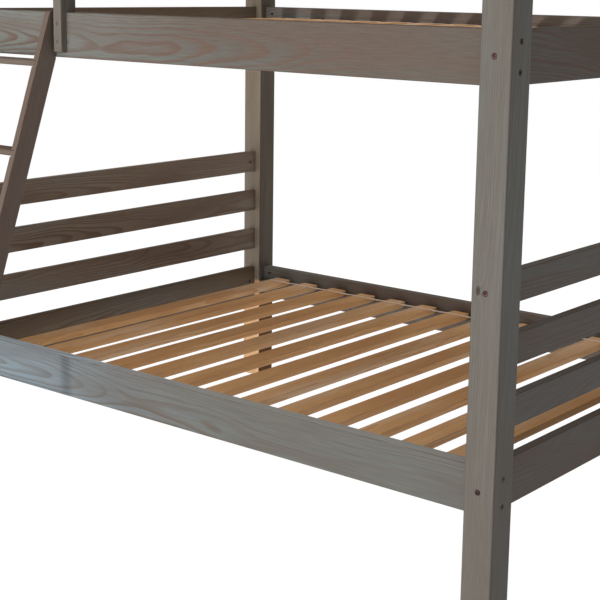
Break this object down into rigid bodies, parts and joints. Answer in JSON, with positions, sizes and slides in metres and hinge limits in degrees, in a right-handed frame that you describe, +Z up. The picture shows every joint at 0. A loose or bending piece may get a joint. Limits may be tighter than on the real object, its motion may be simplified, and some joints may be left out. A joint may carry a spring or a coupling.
{
  "type": "bunk bed",
  "caption": "Solid wood bunk bed for wide mattresses, with slatted decks, railed ends, guard rails and a leaning ladder at one side.",
  "frame": {"origin": "the floor under the centre of the box around the bed and its ladder", "axes": "+X along the bed to its right end, seen from the front; +Y from front to back; +Z up"},
  "size_m": [2.02, 1.9864, 1.78],
  "materials": {
    "post_wood": "grey driftwood stain on pine, satin",
    "rail_wood": "grey driftwood stain on pine, satin",
    "ladder_wood": "grey driftwood stain on pine, satin",
    "slat_wood": "unstained honey-coloured pine, matt",
    "dowel_wood": "plain beech",
    "bolt_steel": "dark zinc",
    "nut_steel": "zinc plated",
    "screw_steel": "dark zinc",
    "tape": "woven cotton tape"
  },
  "bodies": {
    "root": {"barrel_nuts": "nut_steel", "connector_bolts": "bolt_steel", "end_guard_left_1": "rail_wood", "end_guard_left_2": "rail_wood", "end_guard_right_1": "rail_wood", "end_guard_right_2": "rail_wood", "end_rail_dowels": "dowel_wood", "end_rail_lower_left": "rail_wood", "end_rail_lower_right": "rail_wood", "end_rail_upper_left": "rail_wood", "end_rail_upper_right": "rail_wood", "guard_post": "post_wood", "guard_rail_back_1": "rail_wood", "guard_rail_back_2": "rail_wood", "guard_rail_front_1": "rail_wood", "guard_rail_front_2": "rail_wood", "guard_rail_screws": "screw_steel", "ladder_screws": "screw_steel", "ladder_stile_left": "ladder_wood", "ladder_stile_right": "ladder_wood", "ladder_tread_1": "ladder_wood", "ladder_tread_2": "ladder_wood", "ladder_tread_3": "ladder_wood", "ladder_tread_4": "ladder_wood", "ladder_tread_5": "ladder_wood", "ledger_and_lap_screws": "screw_steel", "ledger_lower_back": "rail_wood", "ledger_lower_front": "rail_wood", "ledger_upper_back": "rail_wood", "ledger_upper_front": "rail_wood", "panel_rail_left_1": "rail_wood", "panel_rail_left_2": "rail_wood", "panel_rail_left_3": "rail_wood", "panel_rail_right_1": "rail_wood", "panel_rail_right_2": "rail_wood", "panel_rail_right_3": "rail_wood", "post_back_left": "post_wood", "post_back_right": "post_wood", "post_front_left": "post_wood", "post_front_right": "post_wood", "side_rail_lower_back": "rail_wood", "side_rail_lower_front": "rail_wood", "side_rail_upper_back": "rail_wood", "side_rail_upper_front": "rail_wood", "slat_lower_01": "slat_wood", "slat_lower_02": "slat_wood", "slat_lower_03": "slat_wood", "slat_lower_04": "slat_wood", "slat_lower_05": "slat_wood", "slat_lower_06": "slat_wood", "slat_lower_07": "slat_wood", "slat_lower_08": "slat_wood", "slat_lower_09": "slat_wood", "slat_lower_10": "slat_wood", "slat_lower_11": "slat_wood", "slat_lower_12": "slat_wood", "slat_lower_13": "slat_wood", "slat_tape_lower": "tape", "slat_tape_upper": "tape", "slats_upper": "slat_wood"}
  },
  "joints": []
}
